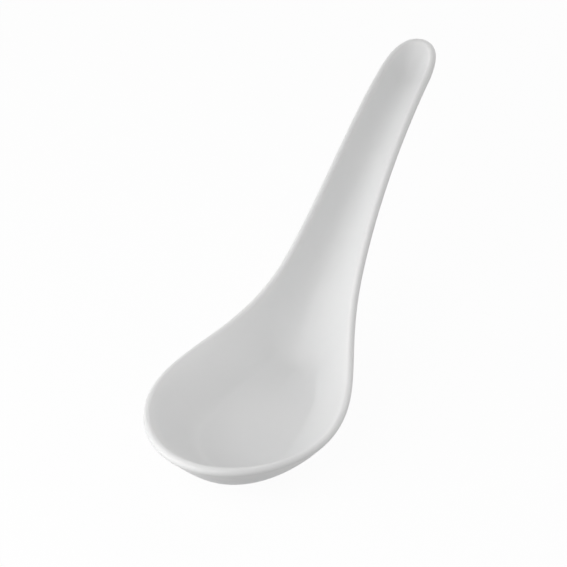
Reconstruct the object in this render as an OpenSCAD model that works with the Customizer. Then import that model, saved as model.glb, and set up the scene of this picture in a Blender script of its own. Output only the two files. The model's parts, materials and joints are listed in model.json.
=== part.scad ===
// Flat-bottomed porcelain soup spoon, in millimetres.
// It is one wall of fired clay: an egg-shaped bowl that narrows at the neck and runs on as an
// open trough handle, with a full-round lip all the way round and a flat foot under the bowl.
// Front edge of the bowl at -Y, handle end at +Y, table at z = 0, origin in the middle of the foot.

/* [Overall] */
// Length over all, from the bowl's front edge to the end of the handle
spoon_length = 138; // [125:0.5:165]
// Thickness of the wall at the lip, which is rounded over its full width
lip_wall = 1.8; // [1.5:0.1:3]
// Thickness of the lip at the bowl's front edge, where the glaze has run together
front_lip_wall = 2.4; // [1.6:0.1:3]
// Thickness of the wall under the bowl's floor, without the foot
base_wall = 3; // [2.4:0.1:4.2]
// Thickness of the wall along the bottom of the handle
handle_wall = 2.7; // [2:0.1:4]

/* [Bowl] */
// Width of the bowl over its lip, at its widest
bowl_width = 49.5; // [40:0.5:56]
// Distance from the bowl's front edge back to its widest place
bowl_reach = 29.5; // [24:0.5:36]
// Height of the lip above the table at the bowl's front edge
front_height = 16.5; // [12:0.5:26]
// Height of the lip above the table at the widest place
side_height = 14; // [12:0.5:24]
// Distance from the bowl's front edge back to where the floor starts to rise
floor_back = 57; // [50:0.5:62]
// Share of the way from the middle to the lip that is flat floor
floor_share = 0.48; // [0.4:0.02:0.56]

/* [Foot] */
// Height of the flat foot below the bowl
foot_height = 0.8; // [0.4:0.1:1.6]
// Distance the foot reaches past the flat floor at the front and sides
foot_lap = 1; // [0:0.2:2]
// Distance the foot runs on behind the place where the floor starts to rise
foot_heel = 3; // [1:0.5:4]

/* [Neck] */
// Distance from the bowl's front edge back to the neck
neck_place = 75.5; // [68:0.5:84]
// Width of the spoon over its lip at the neck
neck_width = 21.5; // [16:0.5:26]
// Height of the lip above the table at the neck
neck_height = 26; // [22:0.5:32]
// Slope of the handle at the neck, in degrees
neck_slope = 35; // [28:1:40]
// Slope of the trough's bottom at the neck, in degrees
keel_slope = 42; // [36:1:46]
// Depth of the trough at the neck, measured in the middle of the wall
neck_depth = 7.5; // [6:0.5:9]

/* [Handle] */
// Distance from the start of the handle's rounded end to the end itself
end_reach = 11.5; // [9:0.5:16]
// Width of the spoon over its lip where the rounded end starts
end_width = 14; // [12:0.5:20]
// Height of the lip above the table where the rounded end starts
end_height = 54.5; // [46:0.5:60]
// Slope of the handle at its end, in degrees
end_slope = 17; // [10:0.5:26]
// Depth of the trough where the rounded end starts, in the middle of the wall
end_depth = 4; // [2.4:0.2:5.6]

/* [Hidden] */

// Stations along each of the four rim curves, and rings from the middle of the floor to the lip
station_counts = [18, 24, 18, 10];
floor_rings = 4;
rings = 12;
lip_steps = 6;

// How far the rim's handles reach, as shares of each curve's own run
front_share = 0.545;
widest_share = 0.475;
flank_share = 0.36;
neck_share = 0.445;
handle_share = 0.33;
end_share = 0.62;
// How fast the rim draws in per length of handle, at the neck and at the rounded end
neck_taper_share = 0.155;
end_taper_share = 0.04;
// The keel runs level for this share of the second curve, then rises to the neck
level_share = 0.6;
keel_start_share = 0.3;
keel_neck_share = 0.36;
// The flat floor draws in to this least share between these shares of the second curve
floor_least = 0.1;
floor_taper_shares = [0.35, 0.85];
// Section of the bowl: flat floor, then a wall that turns up to the lip, as shares across and up
turn_share = 0.33;
wall_shares = [0.945, 0.825];
// The same wall at the bowl's front edge, where it leans out further
front_wall_shares = [0.865, 0.69];
// Section of the trough handle, as shares across and up, and how it runs out at the handle's end
trough_shares = [[0, 0], [0.5, 0], [0.92, 0.57], [1, 1]];
end_shares = [[0, 0], [0.4, 0.05], [0.8, 0.65], [1, 1]];
// The bowl's section starts to turn into the trough's at this share of the second curve
trough_start_share = 0.25;
// The wall keeps its thickness low down and thins towards the lip at this power
thinning = 1.5;
// The foot's solid goes this far up into the wall, and its outline has this many points
root_share = 0.75;
foot_points = 64;

// The rim curve runs down the middle of the lip, half a lip inside every outer size
inset = lip_wall / 2;
front_inset = front_lip_wall / 2;

function bezier(p, t) =
    pow(1 - t, 3) * p[0] + 3 * pow(1 - t, 2) * t * p[1] + 3 * (1 - t) * t * t * p[2] + pow(t, 3) * p[3];
function smooth(t) = t * t * (3 - 2 * t);
function ramp(t, from, to) = max(0, min(1, (t - from) / (to - from)));
function unit(v) = v / norm(v);
function along(slope) = [0, cos(slope), sin(slope)];
function above(slope) = [0, -sin(slope), cos(slope)];
function middle(p) = [0, p.y, p.z];
function mirrored(p) = [-p.x, p.y, p.z];
function run(a, b) = norm(middle(b) - middle(a));

// The rim's places: the bowl's front edge, its widest place, the neck, the start of the handle's
// rounded end, and the end itself
front = [0, front_inset, front_height - front_inset];
widest = [bowl_width / 2 - inset, bowl_reach, side_height - inset];
neck = [neck_width / 2 - inset, neck_place, neck_height - inset];
shoulder = [end_width / 2 - inset, spoon_length - end_reach, end_height - inset];
handle_tip = [0, spoon_length - inset, shoulder.z + (end_reach - inset) * tan(end_slope)];
neck_run = along(neck_slope) - [neck_taper_share, 0, 0];
end_run = along(end_slope) - [end_taper_share, 0, 0];

rim_curves = [
    [front, front + [front_share * widest.x, 0, 0],
        widest - [0, widest_share * (widest.y - front.y), 0], widest],
    [widest, widest + [0, flank_share * (neck.y - widest.y), 0],
        neck - neck_share * run(widest, neck) * neck_run, neck],
    [neck, neck + handle_share * run(neck, shoulder) * neck_run,
        shoulder - handle_share * run(neck, shoulder) * end_run, shoulder],
    [shoulder, shoulder + end_share * run(shoulder, handle_tip) * end_run,
        handle_tip + [end_share * shoulder.x, 0, 0], handle_tip]
];

// The keel is the bottom of the trough in the middle of the wall: a fan point in the bowl, a level
// stretch, a rise to the neck, a curve along the handle and a fan point in the rounded end
bowl_keel = [0, bowl_reach, foot_height + base_wall / 2];
floor_keel = [0, floor_back, bowl_keel.z];
neck_keel = middle(neck) - neck_depth * above(neck_slope);
end_keel = middle(shoulder) - end_depth * above(end_slope);
rise_curve = [
    floor_keel, floor_keel + [0, keel_start_share * (neck_keel.y - floor_keel.y), 0],
    neck_keel - keel_neck_share * (neck_keel.y - floor_keel.y) * along(keel_slope), neck_keel
];
handle_curve = [
    neck_keel, neck_keel + handle_share * run(neck_keel, end_keel) * along(keel_slope),
    end_keel - handle_share * run(neck_keel, end_keel) * along(end_slope), end_keel
];
function keel_at(s) =
    s[0] == 0 ? bowl_keel
    : s[0] == 3 ? end_keel
    : s[0] == 2 ? bezier(handle_curve, s[1])
    : s[1] < level_share ? bowl_keel + s[1] / level_share * (floor_keel - bowl_keel)
    : bezier(rise_curve, (s[1] - level_share) / (1 - level_share));

// Stations, each a curve's number and the share of the way along it
stations = [
    for (curve = [0 : 3]) for (i = [0 : station_counts[curve] - 1]) [curve, i / station_counts[curve]],
    [3, 1]
];
last_station = len(stations) - 1;
fan_end = station_counts[0];
fan_start = last_station - station_counts[3];
loop_count = 2 * last_station;

// Slope of the section's own up direction, and how much of its shape is the front's, the trough's
// and the rounded end's
function lean(s) = [
    0, neck_slope * smooth(s[1]), neck_slope + (end_slope - neck_slope) * smooth(s[1]), end_slope
][s[0]];
function front_part(s) = s[0] == 0 ? 1 - smooth(s[1]) : 0;
function trough_part(s) = s[0] == 0 ? 0 : s[0] == 1 ? smooth(ramp(s[1], trough_start_share, 1)) : 1;
function end_part(s) = s[0] == 3 ? smooth(s[1]) : 0;

function floor_at(s) = floor_share - (floor_share - floor_least)
    * (s[0] == 0 ? 0 : s[0] == 1 ? smooth(ramp(s[1], floor_taper_shares[0], floor_taper_shares[1])) : 1);
function bowl_wall(s) = wall_shares + front_part(s) * (front_wall_shares - wall_shares);
function bowl_profile(s, ring) = let(floor = floor_at(s)) ring < floor_rings
    ? [floor * ring / floor_rings, 0]
    : bezier([[floor, 0], [floor + turn_share * (1 - floor), 0], bowl_wall(s), [1, 1]],
        (ring - floor_rings) / (rings - floor_rings));
function trough_profile(s, ring) = (1 - end_part(s)) * bezier(trough_shares, ring / rings)
    + end_part(s) * bezier(end_shares, ring / rings);
function profile(s, ring) = let(part = trough_part(s))
    (1 - part) * bowl_profile(s, ring) + part * trough_profile(s, ring);
function wall_at(s, ring) =
    let(low = base_wall + (handle_wall - base_wall) * trough_part(s))
    let(lip = lip_wall + (front_lip_wall - lip_wall) * front_part(s))
    low + (lip - low) * pow(ring / rings, thinning);

// Middle of the wall, one row of points from keel to rim for each station
middle_rows = [
    for (s = stations)
        let(keel = keel_at(s), arm = bezier(rim_curves[s[0]], s[1]) - keel)
        let(rise = (arm * above(lean(s))) * above(lean(s)))
        [for (ring = [0 : rings]) let(p = profile(s, ring)) keel + p.x * (arm - rise) + p.y * rise]
];

// The loop goes up the right-hand side and comes back down the left
function half(k) = let(i = (k + loop_count) % loop_count) i <= last_station ? i : loop_count - i;
function is_left(k) = (k + loop_count) % loop_count > last_station;
function wall_point(k, ring) = let(p = middle_rows[half(k)][ring]) is_left(k) ? mirrored(p) : p;

// Keel normals come from its side view; the others from the neighbouring points of the wall
function keel_normal(i) = i <= fan_end ? above(0) : i >= fan_start ? above(end_slope)
    : let(d = middle_rows[i + 1][0] - middle_rows[i - 1][0]) unit([0, -d.z, d.y]);
function across_step(k, ring) = wall_point(k, min(ring + 1, rings)) - wall_point(k, ring - 1);
function wall_normal(k, ring) = ring == 0 ? keel_normal(half(k))
    : unit(cross(across_step(k, ring), wall_point(k + 1, ring) - wall_point(k - 1, ring)));
function lip_out(k) = unit(cross(wall_point(k + 1, rings) - wall_point(k - 1, rings), wall_normal(k, rings)));

// Rings of the skin: up the inside, over the lip, down the outside
ring_total = 2 * rings + lip_steps + 1;
function skin_point(k, r) =
    let(ring = r <= rings ? r : r >= rings + lip_steps ? ring_total - 1 - r : rings)
    let(turn = 180 * max(0, min(lip_steps, r - rings)) / lip_steps)
    let(reach = wall_at(stations[half(k)], ring) / 2)
    wall_point(k, ring) + reach * (cos(turn) * wall_normal(k, ring) + (r > rings && r < rings + lip_steps
        ? sin(turn) * lip_out(k) : [0, 0, 0]));

// Both keel rings are shared by the two sides, and each fan point by all its stations
keel_count = fan_start - fan_end + 1;
function keel_slot(k) = max(fan_end, min(fan_start, half(k))) - fan_end;
function skin_index(k, r) = r == 0 ? keel_slot(k)
    : r == ring_total - 1 ? keel_count + (ring_total - 2) * loop_count + keel_slot(k)
    : keel_count + (r - 1) * loop_count + k % loop_count;
skin_points = [
    for (i = [fan_end : fan_start]) skin_point(i, 0),
    for (r = [1 : ring_total - 2]) for (k = [0 : loop_count - 1]) skin_point(k, r),
    for (i = [fan_end : fan_start]) skin_point(i, ring_total - 1)
];

// Each patch is two triangles, split alike on both sides; those that close to a line are left out
function patch(k, r) =
    let(a = skin_index(k, r), b = skin_index(k + 1, r), c = skin_index(k + 1, r + 1), d = skin_index(k, r + 1))
    k < last_station ? [[a, b, c], [a, c, d]] : [[a, b, d], [b, c, d]];
skin_faces = [
    for (r = [0 : ring_total - 2]) for (k = [0 : loop_count - 1]) for (f = patch(k, r))
        if (f[0] != f[1] && f[1] != f[2] && f[2] != f[0]) f
];

// The fired body, one wall from the bowl's floor to the handle's end
module shell() {
    polyhedron(skin_points, skin_faces);
}

// The foot is an egg-shaped pad, widest under the bowl's widest place
foot_front = bowl_reach - floor_share * (bowl_reach - front_inset) - foot_lap;
foot_back = floor_back + foot_heel;
foot_side = floor_share * widest.x + foot_lap;
foot_middle = (foot_front + foot_back) / 2;
foot_outline = [
    for (i = [0 : foot_points - 1]) let(turn = 360 * i / foot_points)
        let(reach = sin(turn) < 0 ? bowl_reach - foot_front : foot_back - bowl_reach)
        [foot_side * cos(turn), bowl_reach + reach * sin(turn)]
];

module foot() {
    linear_extrude(foot_height + root_share * base_wall) polygon(foot_outline);
}

module spoon() {
    color("white") translate([0, -foot_middle, 0]) {
        shell();
        foot();
    }
}

spoon();
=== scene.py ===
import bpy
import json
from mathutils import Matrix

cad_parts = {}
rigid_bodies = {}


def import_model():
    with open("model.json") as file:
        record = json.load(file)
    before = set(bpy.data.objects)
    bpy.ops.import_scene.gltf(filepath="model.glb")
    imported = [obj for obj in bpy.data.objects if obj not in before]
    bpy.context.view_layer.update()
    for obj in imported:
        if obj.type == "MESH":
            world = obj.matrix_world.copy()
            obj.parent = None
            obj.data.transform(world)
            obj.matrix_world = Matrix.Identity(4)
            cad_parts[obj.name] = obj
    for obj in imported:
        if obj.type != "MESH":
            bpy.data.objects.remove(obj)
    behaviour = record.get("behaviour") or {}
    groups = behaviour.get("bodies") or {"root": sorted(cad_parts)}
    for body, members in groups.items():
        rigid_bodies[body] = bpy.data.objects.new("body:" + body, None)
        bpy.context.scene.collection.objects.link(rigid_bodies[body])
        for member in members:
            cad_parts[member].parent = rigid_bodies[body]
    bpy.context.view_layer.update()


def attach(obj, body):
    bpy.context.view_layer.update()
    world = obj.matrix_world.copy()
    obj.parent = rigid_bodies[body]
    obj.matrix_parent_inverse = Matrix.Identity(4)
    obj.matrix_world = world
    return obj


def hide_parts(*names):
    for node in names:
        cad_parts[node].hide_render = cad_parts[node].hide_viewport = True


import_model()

import json
import math
from types import SimpleNamespace

import bpy
from mathutils import Matrix, Vector

scene = bpy.context.scene


# one socket of a node tree; an expression written with it adds its own maths nodes
class Wire:
    def __init__(self, tree, socket=None):
        self.tree = tree
        self.socket = socket

    # any node: its type, its settings, then the values or links of its sockets
    def node(self, kind, settings=None, sockets=None, output=0):
        made = self.tree.nodes.new(kind)
        for name, value in (settings or {}).items():
            setattr(made, name, value)
        for key, value in (sockets or {}).items():
            for each in value if isinstance(value, list) else [value]:
                self.feed(made.inputs[key], each)
        return Wire(self.tree, made.outputs[output]) if len(made.outputs) else None

    def feed(self, socket, value):
        if isinstance(value, Wire):
            self.tree.links.new(value.socket, socket)
        elif socket.type == "VECTOR" and isinstance(value, (int, float)):
            socket.default_value = (value,) * 3
        else:
            socket.default_value = value

    def isVector(self, value):
        if isinstance(value, Wire):
            return value.socket.type in ("VECTOR", "RGBA")
        return isinstance(value, tuple)

    def maths(self, operation, *values, output=0):
        vector = any(self.isVector(value) for value in values)
        kind = "ShaderNodeVectorMath" if vector else "ShaderNodeMath"
        return self.node(kind, {"operation": operation}, dict(enumerate(values)), output)

    def __add__(self, other):
        return self.maths("ADD", self, other)

    def __radd__(self, other):
        return self.maths("ADD", other, self)

    def __sub__(self, other):
        return self.maths("SUBTRACT", self, other)

    def __rsub__(self, other):
        return self.maths("SUBTRACT", other, self)

    def __mul__(self, other):
        return self.maths("MULTIPLY", self, other)

    def __rmul__(self, other):
        return self.maths("MULTIPLY", other, self)

    def __truediv__(self, other):
        return self.maths("DIVIDE", self, other)

    def __rtruediv__(self, other):
        return self.maths("DIVIDE", other, self)

    def __mod__(self, other):
        return self.maths("FLOORED_MODULO", self, other)

    def __rmod__(self, other):
        return self.maths("FLOORED_MODULO", other, self)

    def __pow__(self, other):
        return self.maths("POWER", self, other)

    def __rpow__(self, other):
        return self.maths("POWER", other, self)

    def __neg__(self):
        return self.maths("SUBTRACT", 0.0, self)

    def __abs__(self):
        return self.maths("ABSOLUTE", self)

    def floor(self):
        return self.maths("FLOOR", self)

    def sine(self):
        return self.maths("SINE", self)

    def cosine(self):
        return self.maths("COSINE", self)

    def tangent(self):
        return self.maths("TANGENT", self)

    def least(self, other):
        return self.maths("MINIMUM", self, other)

    def most(self, other):
        return self.maths("MAXIMUM", self, other)

    def below(self, other):
        return self.maths("LESS_THAN", self, other)

    def beyond(self, other):
        return self.maths("GREATER_THAN", self, other)

    def cross(self, other):
        return self.maths("CROSS_PRODUCT", self, other)

    def dot(self, other):
        return self.maths("DOT_PRODUCT", self, other, output="Value")

    def length(self):
        return self.maths("LENGTH", self, output="Value")

    def unit(self):
        return self.maths("NORMALIZE", self)

    # 0 before start, 1 after end, straight between them
    def ramp(self, start, end):
        return ((self - start) / (end - start)).most(0.0).least(1.0)

    # 0 to 1, eased in and out
    def ease(self):
        return self * self * (3.0 - 2.0 * self)

    def vector(self, x, y, z):
        return self.node("ShaderNodeCombineXYZ", None, {0: x, 1: y, 2: z})

    # 0 for x, 1 for y, 2 for z
    def part(self, axis):
        return self.node("ShaderNodeSeparateXYZ", None, {0: self}, axis)

    # first where share is 0, second where it is 1
    def mix(self, share, first, second):
        kind, slot, output = "FLOAT", 2, 0
        if self.isVector(first) or self.isVector(second):
            kind, slot, output = "VECTOR", 4, 1
        values = {0: share, slot: first, slot + 1: second}
        return self.node("ShaderNodeMix", {"data_type": kind}, values, output)

    # the same for two colours
    def tint(self, share, first, second):
        return self.node("ShaderNodeMix", {"data_type": "RGBA"}, {0: share, 6: first, 7: second}, 2)


spoonBody = {
    # metres and radians; the places are measured from the bowl's front edge, as in the CAD source
    "sizes": {
        "length": 0.138,
        "lipWall": 0.0018,
        "frontLipWall": 0.0024,  # where the glaze has run together
        "baseWall": 0.003,  # under the bowl, without the foot
        "handleWall": 0.0027,
        "bowlWidth": 0.0495,
        "bowlReach": 0.0295,  # back to the bowl's widest place
        "frontHeight": 0.0165,  # of the lip, as the other heights
        "sideHeight": 0.014,
        "floorBack": 0.057,  # where the floor starts to rise
        "footHeight": 0.0008,
        "footLap": 0.001,  # past the flat floor at the front and sides
        "footHeel": 0.003,  # past the place where the floor starts to rise
        "footEdge": 0.00035,  # radius of the face's edge
        "footFillet": 0.0005,  # radius of the hollow that runs into the bowl
        "neckPlace": 0.0755,
        "neckWidth": 0.0215,
        "neckHeight": 0.026,
        "neckSlope": math.radians(35.0),
        "keelSlope": math.radians(42.0),  # of the trough's bottom at the neck
        "neckDepth": 0.0075,  # in the middle of the wall, as at the end
        "endReach": 0.0115,  # length of the handle's rounded end
        "endWidth": 0.014,
        "endHeight": 0.0545,
        "endSlope": math.radians(17.0),
        "endDepth": 0.004,
    },
    "curves": {
        # how far the curves' handles reach, as shares of each curve's own run
        "front": 0.545,
        "widest": 0.475,
        "flank": 0.36,
        "neck": 0.445,
        "handle": 0.33,
        "end": 0.62,
        # how fast the rim draws in along the handle
        "neckTaper": 0.155,
        "endTaper": 0.04,
        # the keel runs level for this share of the flank, then rises to the neck
        "level": 0.6,
        "keelStart": 0.3,
        "keelNeck": 0.36,
        # the flat floor's share of the way out to the lip, and how it draws in along the flank
        "floor": 0.48,
        "floorLeast": 0.1,
        "floorFrom": 0.35,
        "floorTaper": 0.85,
        "floorRings": 1 / 3,
        # the bowl's wall, as shares out and up, at the sides and at the front edge
        "turn": 0.33,
        "wallOut": 0.945,
        "wallUp": 0.825,
        "frontWallOut": 0.865,
        "frontWallUp": 0.69,
        # the trough's section, the share of the flank where it starts, and the handle's very end
        "troughFrom": 0.25,
        "troughStart": 0.5,
        "troughOut": 0.92,
        "troughUp": 0.57,
        "endOut": (0.4, 0.8),
        "endUp": (0.05, 0.65),
        # the power at which the wall thins towards the lip
        "thinning": 1.5,
    },
    # how finely the mesh is cut, in steps, and the small lengths that help to make it, in metres
    "cuts": {
        "stations": (48, 64, 54, 24),  # along the front, the flank, the handle and the rounded end
        "rings": 36,  # from the keel to the lip
        "lipSteps": 10,  # round the lip
        "footSpan": 120,  # round the foot
        "footRows": (1, 2, 5, 6, 9, 10, 11, 12),  # where the stretches of its profile end
        "weldReach": 0.000002,
        "keelNudge": 0.0000001,
        "hollowTuck": 0.00002,  # how far the hollow's end goes into the wall
        "probeDepth": 0.01,  # where the rays that find the wall's underside start
        "probeLength": 0.1,
    },
}
curve = SimpleNamespace(**spoonBody["curves"])
cuts = SimpleNamespace(**spoonBody["cuts"])
last = sum(cuts.stations)  # the station at the handle's end


def along(slope):
    return slope.vector(0.0, slope.cosine(), slope.sine())


def above(slope):
    return slope.vector(0.0, -slope.sine(), slope.cosine())


# how far a curve has gone from its start; its two handles and its end are given from there
def curveRun(share, firstHandle, lastHandle, end):
    back = 1.0 - share
    firstPart = (3.0 * back * back * share) * firstHandle
    lastPart = (3.0 * back * share * share) * lastHandle
    return firstPart + lastPart + (share * share * share) * end


# the column of each of a grid's points, and its row in that column
def gridPlace(start, rows):
    index = start.node("GeometryNodeInputIndex")
    column = (index / rows).floor()
    return column, index - column * rows


def placedGrid(start, columns, rows, place):
    grid = start.node("GeometryNodeMeshGrid", None, {"Vertices X": columns, "Vertices Y": rows})
    return start.node("GeometryNodeSetPosition", None, {"Geometry": grid, "Position": place})


# makes one point of those that lie closer together than the mesh can use
def weld(start, mesh):
    return start.node("GeometryNodeMergeByDistance", None, {"Geometry": mesh, "Distance": cuts.weldReach})


# the columns go round the spoon: each one's station, and 1 on the right side or -1 on the left
def stationAndSide(column):
    return last - abs(last - column), 1.0 - 2.0 * column.beyond(last + 0.5)


# the share done of each of the four curves at a station, counted from the bowl's front edge
def curveShares(station):
    ends = [sum(cuts.stations[:i]) for i in range(len(cuts.stations) + 1)]
    return [station.ramp(begin, end) for begin, end in zip(ends, ends[1:])]


# the slope of the handle at a station, which each section stands square to
def leanAt(size, shares):
    return size.neckSlope * shares[1].ease() + (size.endSlope - size.neckSlope) * shares[2].ease()


def rimAndKeel(size, shares):
    vector = size.length.vector
    inset = size.lipWall / 2.0
    frontInset = size.frontLipWall / 2.0
    widestX = size.bowlWidth / 2.0 - inset
    widestY = size.bowlReach
    shoulderX = size.endWidth / 2.0 - inset
    tipReach = size.endReach - inset
    front = vector(0.0, frontInset, size.frontHeight - frontInset)
    widest = vector(widestX, widestY, size.sideHeight - inset)
    neck = vector(size.neckWidth / 2.0 - inset, size.neckPlace, size.neckHeight - inset)
    shoulder = vector(shoulderX, size.length - size.endReach, size.endHeight - inset)
    tipStep = vector(-shoulderX, tipReach, tipReach * size.endSlope.tangent())

    flat = (0.0, 1.0, 1.0)  # keeps what lies in the middle plane
    flankLength = ((neck - widest) * flat).length()
    handleLength = ((shoulder - neck) * flat).length()
    endLength = (tipStep * flat).length()
    neckRun = along(size.neckSlope) - (curve.neckTaper, 0.0, 0.0)
    endRun = along(size.endSlope) - (curve.endTaper, 0.0, 0.0)

    rim = front + curveRun(
        shares[0],
        vector(curve.front * widestX, 0.0, 0.0),
        widest - front - vector(0.0, curve.widest * (widestY - frontInset), 0.0),
        widest - front,
    ) + curveRun(
        shares[1],
        vector(0.0, curve.flank * (size.neckPlace - widestY), 0.0),
        neck - widest - curve.neck * flankLength * neckRun,
        neck - widest,
    ) + curveRun(
        shares[2],
        curve.handle * handleLength * neckRun,
        shoulder - neck - curve.handle * handleLength * endRun,
        shoulder - neck,
    ) + curveRun(
        shares[3],
        curve.end * endLength * endRun,
        tipStep + vector(curve.end * shoulderX, 0.0, 0.0),
        tipStep,
    )

    levelHeight = size.footHeight + size.baseWall / 2.0
    bowlKeel = vector(0.0, widestY, levelHeight)
    floorKeel = vector(0.0, size.floorBack, levelHeight)
    neckKeel = neck * flat - size.neckDepth * above(size.neckSlope)
    endKeel = shoulder * flat - size.endDepth * above(size.endSlope)
    riseReach = (neckKeel - floorKeel).part(1)
    keelLength = (endKeel - neckKeel).length()
    keel = bowlKeel + (floorKeel - bowlKeel) * shares[1].ramp(0.0, curve.level) + curveRun(
        shares[1].ramp(curve.level, 1.0),
        vector(0.0, curve.keelStart * riseReach, 0.0),
        neckKeel - floorKeel - curve.keelNeck * riseReach * along(size.keelSlope),
        neckKeel - floorKeel,
    ) + curveRun(
        shares[2],
        curve.handle * keelLength * along(size.keelSlope),
        endKeel - neckKeel - curve.handle * keelLength * along(size.endSlope),
        endKeel - neckKeel,
    )
    return rim, keel


# the middle of the wall: a column of points from keel to rim for each station, right side then left
def middleOfWall(start, size):
    rows = cuts.rings + 1
    column, row = gridPlace(start, rows)
    ring = row / cuts.rings
    station, side = stationAndSide(column)
    shares = curveShares(station)
    rim, keel = rimAndKeel(size, shares)
    arm = rim - keel
    upward = above(leanAt(size, shares))
    rise = arm.dot(upward) * upward

    # how far the section's shape has gone towards the front edge, the trough and the rounded end
    atFront = 1.0 - shares[0].ease()
    trough = shares[1].ramp(curve.troughFrom, 1.0).ease()
    atTip = shares[3].ease()
    narrowing = shares[1].ramp(curve.floorFrom, curve.floorTaper).ease()
    floor = curve.floor - (curve.floor - curve.floorLeast) * narrowing
    wallShare = ring.ramp(curve.floorRings, 1.0)
    wallOut = start.mix(atFront, curve.wallOut, curve.frontWallOut)
    wallUp = start.mix(atFront, curve.wallUp, curve.frontWallUp)
    bowlOut = floor * ring.ramp(0.0, curve.floorRings) \
        + curveRun(wallShare, curve.turn * (1.0 - floor), wallOut - floor, 1.0 - floor)
    bowlUp = curveRun(wallShare, 0.0, wallUp, 1.0)
    troughOut = curveRun(ring, curve.troughStart, curve.troughOut, 1.0)
    troughUp = curveRun(ring, 0.0, curve.troughUp, 1.0)
    tipOut = curveRun(ring, *curve.endOut, 1.0)
    tipUp = curveRun(ring, *curve.endUp, 1.0)
    out = start.mix(atTip, start.mix(trough, bowlOut, troughOut), tipOut)
    up = start.mix(atTip, start.mix(trough, bowlUp, troughUp), tipUp)
    place = (keel + out * (arm - rise) + up * rise) * start.vector(side, 1.0, 1.0)

    low = start.mix(trough, size.baseWall, size.handleWall)
    lip = start.mix(atFront, size.lipWall, size.frontLipWall)
    thickness = low + (lip - low) * ring ** curve.thinning
    return placedGrid(start, 2 * last + 1, rows, place), thickness


# the skin: up the inside, round the lip and down the outside of that middle
def skinOfWall(start, size, middle, thickness):
    rings, lipSteps = cuts.rings, cuts.lipSteps
    rows = 2 * rings + lipSteps + 1
    column, row = gridPlace(start, rows)
    ring = rings - (abs(row - (rings + lipSteps / 2)) - lipSteps / 2).most(0.0)
    turn = math.pi * row.ramp(rings, rings + lipSteps)
    position = start.node("GeometryNodeInputPosition")

    # reads a value of the middle's points; the quarter keeps the rounding down on the right one
    def sample(kind, value, atColumn, atRing):
        nearest = (atColumn * (rings + 1) + atRing + 0.25).floor()
        return start.node("GeometryNodeSampleIndex", {"data_type": kind, "domain": "POINT"},
                          {"Geometry": middle, "Value": value, "Index": nearest})

    def middleAt(atColumn, atRing):
        return sample("FLOAT_VECTOR", position, atColumn, atRing)

    loop = 2 * last
    across = middleAt(column, (ring + 1.0).least(rings)) - middleAt(column, (ring - 1.0).most(0.0))
    loopStep = middleAt((column + 1.0) % loop, ring) - middleAt((column - 1.0) % loop, ring)
    station, side = stationAndSide(column)
    # where stations share one point of the keel, a nudge gives its step a direction
    keelStep = side * loopStep + cuts.keelNudge * along(leanAt(size, curveShares(station)))
    keelNormal = start.maths("CROSS_PRODUCT", (1.0, 0.0, 0.0), keelStep).unit()
    normal = start.mix(ring.below(0.5), across.cross(loopStep).unit(), keelNormal)
    lipOut = loopStep.cross(normal).unit()

    reach = sample("FLOAT", thickness, column, ring) / 2.0
    place = middleAt(column, ring) + reach * (turn.cosine() * normal + turn.sine() * lipOut)
    skin = placedGrid(start, 2 * last + 1, rows, place)
    marked = start.node("GeometryNodeStoreNamedAttribute", {"data_type": "FLOAT", "domain": "POINT"}, {
        "Geometry": skin, "Name": "lipShare", "Value": ring / rings})
    return weld(start, marked)


# how far the foot reaches forwards from the bowl's widest place
def footFront(size):
    return curve.floor * (size.bowlReach - size.frontLipWall / 2.0) + size.footLap


# the foot: a flat pad with a rounded edge, a side that runs in a small hollow into the bowl, and a
# top that is buried in the wall
def footPad(start, size, skin):
    # the rows at which each stretch ends, from the middle of the face to the middle of the top
    inner, face, edge, side, tuck, hollow, buried, top = cuts.footRows
    rows = top + 1
    column, row = gridPlace(start, rows)
    turn = column * (2.0 * math.pi / cuts.footSpan)
    edgeTurn = row.ramp(face, edge) * (math.pi / 2.0)
    hollowTurn = row.ramp(side, hollow) * (math.pi / 2.0)

    sideReach = curve.floor * (size.bowlWidth / 2.0 - size.lipWall / 2.0) + size.footLap
    backReach = size.floorBack + size.footHeel - size.bowlReach
    endReach = start.mix(turn.sine().below(0.0), backReach, footFront(size))
    offset = size.footFillet * (1.0 - hollowTurn.cosine()) - size.footEdge * (1.0 - edgeTurn.sine()) \
        - size.footEdge * (1.0 - row.ramp(inner, face))
    share = row.ramp(0.0, inner) - row.ramp(buried, top)
    x = share * (sideReach + offset) * turn.cosine()
    y = size.bowlReach + share * (endReach + offset) * turn.sine()

    wallBottom = start.node("GeometryNodeRaycast", None, {
        "Target Geometry": skin,
        "Source Position": start.vector(x, y, -cuts.probeDepth),
        "Ray Direction": (0.0, 0.0, 1.0),
        "Ray Length": cuts.probeLength,
    }, "Hit Position").part(2)
    low = size.footEdge * (1.0 - edgeTurn.cosine())
    high = wallBottom - size.footFillet * (1.0 - hollowTurn.sine()) \
        + cuts.hollowTuck * row.ramp(tuck, hollow) + size.footHeight * row.ramp(hollow, buried)
    place = start.vector(x, y, start.mix(row.ramp(edge, side), low, high))
    return weld(start, placedGrid(start, cuts.footSpan + 1, rows, place))


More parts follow.
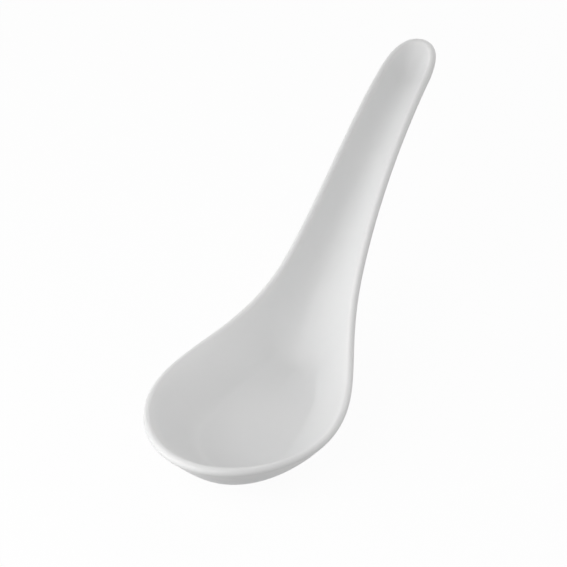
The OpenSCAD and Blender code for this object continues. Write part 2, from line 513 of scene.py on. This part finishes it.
def spoonTree(material):
    tree = bpy.data.node_groups.new("spoonWall", "GeometryNodeTree")
    tree.interface.new_socket("Geometry", in_out="OUTPUT", socket_type="NodeSocketGeometry")
    for name in spoonBody["sizes"]:
        socket = tree.interface.new_socket(name, in_out="INPUT", socket_type="NodeSocketFloat")
        socket.subtype = "ANGLE" if name.endswith("Slope") else "DISTANCE"
    start = Wire(tree)
    given = tree.nodes.new("NodeGroupInput")
    size = SimpleNamespace(**{name: Wire(tree, given.outputs[name]) for name in spoonBody["sizes"]})

    middle, thickness = middleOfWall(start, size)
    skin = skinOfWall(start, size, middle, thickness)
    pad = footPad(start, size, skin)
    union = start.node(
        "GeometryNodeMeshBoolean", {"operation": "UNION", "solver": "EXACT"}, {1: [skin, pad]})
    skinShare = start.node("GeometryNodeInputNamedAttribute", {"data_type": "FLOAT"}, {"Name": "lipShare"})
    lipShare = start.node("GeometryNodeSampleNearestSurface", {"data_type": "FLOAT"}, {
        "Mesh": skin, "Value": skinShare})
    marked = start.node("GeometryNodeStoreNamedAttribute", {"data_type": "FLOAT", "domain": "POINT"}, {
        "Geometry": weld(start, union), "Name": "lipShare", "Value": lipShare})
    footMiddle = (size.floorBack + size.footHeel + size.bowlReach - footFront(size)) / 2.0
    moved = start.node("GeometryNodeSetPosition", None, {
        "Geometry": marked, "Offset": start.vector(0.0, -footMiddle, 0.0)})
    smooth = start.node("GeometryNodeSetShadeSmooth", None, {"Geometry": moved, "Shade Smooth": True})
    real = start.node("GeometryNodeRealizeInstances", None, {"Geometry": smooth})
    finished = start.node("GeometryNodeSetMaterial", None, {"Geometry": real, "Material": material})
    start.node("NodeGroupOutput", None, {"Geometry": finished})
    return tree


def makeSpoonBody(material):
    tree = spoonTree(material)
    blank = bpy.data.objects.new("blank", bpy.data.meshes.new("blank"))
    scene.collection.objects.link(blank)
    modifier = blank.modifiers.new("spoonWall", "NODES")
    modifier.node_group = tree
    for item in tree.interface.items_tree:
        if item.in_out == "INPUT":
            modifier[item.identifier] = spoonBody["sizes"][item.name]
    mesh = bpy.data.meshes.new_from_object(blank.evaluated_get(bpy.context.evaluated_depsgraph_get()))
    mesh.name = "spoonBody"
    bpy.data.objects.remove(blank)
    body = bpy.data.objects.new("spoonBody", mesh)
    scene.collection.objects.link(body)
    return body


# a white satin glaze; lengths in metres, scales in lumps to the metre
glazeFinish = {
    "colour": (0.84, 0.84, 0.838, 1.0),
    "deepColour": (0.826, 0.829, 0.829, 1.0),  # where the melt lies a little thicker
    "lipColour": (0.858, 0.857, 0.854, 1.0),  # where it runs thin over the lip
    "lipStart": 0.8,
    "cloudScale": 55.0,
    "cloudStart": 0.3,
    "cloudEnd": 0.7,
    "softDetail": 2.0,
    "roughness": 0.45,
    "roughnessSpread": 0.06,
    "waveScale": 75.0,
    "waveDepth": 0.00002,
    "peelScale": 1250.0,
    "peelDepth": 0.0000016,
    "pinScale": 230.0,
    "pinShare": 0.3,
    "pinRadius": 0.00013,
    "pinDepth": 0.00003,
}

# the foot's face, wiped clean before the firing
bareFinish = {
    "colour": (0.79, 0.778, 0.752, 1.0),
    "roughness": 0.85,
    "height": 0.00022,
    "heightSpread": 0.0001,
    "heightSoftness": 0.00003,
    "edgeScale": 900.0,
    "edgeDetail": 2.0,
    "glazeStep": 0.00008,
    "grainScale": 4200.0,
    "grainDetail": 3.0,
    "grainDepth": 0.000012,
}


def glazedPorcelain():
    glaze, bare = glazeFinish, bareFinish
    material = bpy.data.materials.new("glazedPorcelain")
    material.use_nodes = True
    tree = material.node_tree
    tree.nodes.clear()
    start = Wire(tree)
    place = start.node("ShaderNodeTexCoord", output="Object")

    def noise(scale, detail=1.0):
        sockets = {"Vector": place, "Scale": scale, "Detail": detail}
        return start.node("ShaderNodeTexNoise", None, sockets, "Fac")

    def cells(output):
        return start.node("ShaderNodeTexVoronoi", None, {"Vector": place, "Scale": glaze["pinScale"]}, output)

    lipShare = start.node("ShaderNodeAttribute", {"attribute_name": "lipShare"}, output="Fac")
    lip = lipShare.ramp(glaze["lipStart"], 1.0).ease()
    cloud = noise(glaze["cloudScale"], glaze["softDetail"]).ramp(glaze["cloudStart"], glaze["cloudEnd"])
    clouded = start.tint(cloud, glaze["colour"], glaze["deepColour"])
    glazeColour = start.tint(lip, clouded, glaze["lipColour"])
    unevenness = noise(glaze["waveScale"], glaze["softDetail"]) - 0.5
    glazeRoughness = glaze["roughness"] + glaze["roughnessSpread"] * unevenness

    pinReach = cells("Distance") / (glaze["pinRadius"] * glaze["pinScale"])
    pinHole = (1.0 - pinReach.ramp(0.0, 1.0).ease()) * cells("Color").part(0).below(glaze["pinShare"])
    waves = glaze["waveDepth"] * noise(glaze["waveScale"])
    peel = glaze["peelDepth"] * noise(glaze["peelScale"])
    glazeHeight = waves + peel - glaze["pinDepth"] * pinHole + bare["glazeStep"]

    wiped = place.part(2) + bare["heightSpread"] * (noise(bare["edgeScale"], bare["edgeDetail"]) - 0.5)
    glazed = wiped.ramp(bare["height"] - bare["heightSoftness"], bare["height"] + bare["heightSoftness"])
    grain = bare["grainDepth"] * noise(bare["grainScale"], bare["grainDetail"])
    height = start.mix(glazed, grain, glazeHeight)
    normal = start.node("ShaderNodeBump", None, {"Strength": 1.0, "Distance": 1.0, "Height": height})

    shader = start.node("ShaderNodeBsdfPrincipled", None, {
        "Base Color": start.tint(glazed, bare["colour"], glazeColour),
        "Roughness": start.mix(glazed, bare["roughness"], glazeRoughness),
        "Normal": normal,
    })
    start.node("ShaderNodeOutputMaterial", None, {"Surface": shader})
    return material


porcelain = glazedPorcelain()
print("finish:", porcelain.name)
spoon = makeSpoonBody(porcelain)
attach(spoon, "root")
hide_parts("spoon")
print("body:", len(spoon.data.vertices), "vertices", len(spoon.data.polygons), "faces")


# a large pale floor that the camera and the glaze see as white, with the object's shadow kept
groundFinish = {
    "reach": 12.0,
    "colour": (0.5, 0.5, 0.5, 1.0),
    "seenColour": (1.0, 1.0, 1.0, 1.0),
    "whiteShare": 0.95,
    "whiteStrength": 1.0,
}


# 1 for the rays that show a surface, 0 for those that only carry light to others
def seenRays(start):
    camera, glossy, through = [start.node("ShaderNodeLightPath", output="Is %s Ray" % name)
                               for name in ("Camera", "Glossy", "Transmission")]
    return (camera + glossy + through).least(1.0)


def makeGround():
    reach = groundFinish["reach"]
    corners = [(-reach, -reach, 0.0), (reach, -reach, 0.0), (reach, reach, 0.0), (-reach, reach, 0.0)]
    mesh = bpy.data.meshes.new("ground")
    mesh.from_pydata(corners, [], [(0, 1, 2, 3)])
    material = bpy.data.materials.new("paleGround")
    material.use_nodes = True
    tree = material.node_tree
    tree.nodes.clear()
    start = Wire(tree)
    seen = seenRays(start)
    lit = start.node("ShaderNodeBsdfDiffuse", None, {
        "Color": start.tint(seen, groundFinish["colour"], groundFinish["seenColour"])})
    white = start.node("ShaderNodeEmission", None, {"Strength": groundFinish["whiteStrength"]})
    both = start.node("ShaderNodeMixShader", None, {0: groundFinish["whiteShare"] * seen, 1: lit, 2: white})
    start.node("ShaderNodeOutputMaterial", None, {"Surface": both})
    mesh.materials.append(material)
    ground = bpy.data.objects.new("ground", mesh)
    scene.collection.objects.link(ground)


studioLight = {
    "aim": Vector((0.0, 0.03, 0.02)),
    # soft lamps: azimuth and elevation from the aim in degrees, distance and side in metres, watts
    "lamps": {
        "lowLeft": (-60.0, 8.0, 0.7, 0.6, 2.75),
        "lowRight": (100.0, 10.0, 0.7, 0.6, 1.5),
        "nearFront": (-20.0, 35.0, 0.35, 0.3, 0.57),
        "behind": (180.0, 30.0, 1.3, 1.0, 4.4),
    },
    "ambient": 0.335,
    "seenStrength": 1.0,
}


# the unit step back from what is looked at to the eye or the lamp
def lookBack(azimuth, elevation):
    level = math.cos(elevation)
    return Vector((math.sin(azimuth) * level, -math.cos(azimuth) * level, math.sin(elevation)))


def makeLamps():
    for name, (azimuth, elevation, distance, side, power) in studioLight["lamps"].items():
        light = bpy.data.lights.new(name, "AREA")
        light.size = side
        light.energy = power
        lamp = bpy.data.objects.new(name, light)
        back = lookBack(math.radians(azimuth), math.radians(elevation))
        lamp.location = studioLight["aim"] + back * distance
        lamp.rotation_euler = back.to_track_quat("Z", "Y").to_euler()
        lamp.visible_camera = False
        scene.collection.objects.link(lamp)


def makeWorld():
    world = bpy.data.worlds.new("studio")
    world.use_nodes = True
    scene.world = world
    tree = world.node_tree
    tree.nodes.clear()
    start = Wire(tree)
    strength = start.mix(seenRays(start), studioLight["ambient"], studioLight["seenStrength"])
    background = start.node("ShaderNodeBackground", None, {"Strength": strength})
    start.node("ShaderNodeOutputWorld", None, {"Surface": background})


cameraView = {
    "azimuth": math.radians(26.85),
    "elevation": math.radians(37.42),
    "roll": math.radians(-1.55),
    "distance": 0.7615,
    "target": Vector((-0.00668, 0.02790, 0.02430)),
    "lens": 189.1,
    "sensorWidth": 36.0,
    "clipStart": 0.01,
    "clipEnd": 50.0,
}


def makeCamera():
    azimuth, roll = cameraView["azimuth"], cameraView["roll"]
    back = lookBack(azimuth, cameraView["elevation"])
    level = Vector((math.cos(azimuth), math.sin(azimuth), 0.0))
    right = level * math.cos(roll) + back.cross(level) * math.sin(roll)
    up = back.cross(right)
    data = bpy.data.cameras.new("camera")
    data.lens = cameraView["lens"]
    data.sensor_width = cameraView["sensorWidth"]
    data.clip_start = cameraView["clipStart"]
    data.clip_end = cameraView["clipEnd"]
    eye = bpy.data.objects.new("camera", data)
    place = Matrix.Translation(cameraView["target"] + back * cameraView["distance"])
    eye.matrix_world = place @ Matrix((right, up, back)).transposed().to_4x4()
    scene.collection.objects.link(eye)
    scene.camera = eye


makeGround()
makeLamps()
makeWorld()
makeCamera()
scene.view_settings.view_transform = "Standard"
print("studio: ground, lamps, world and camera are in place")
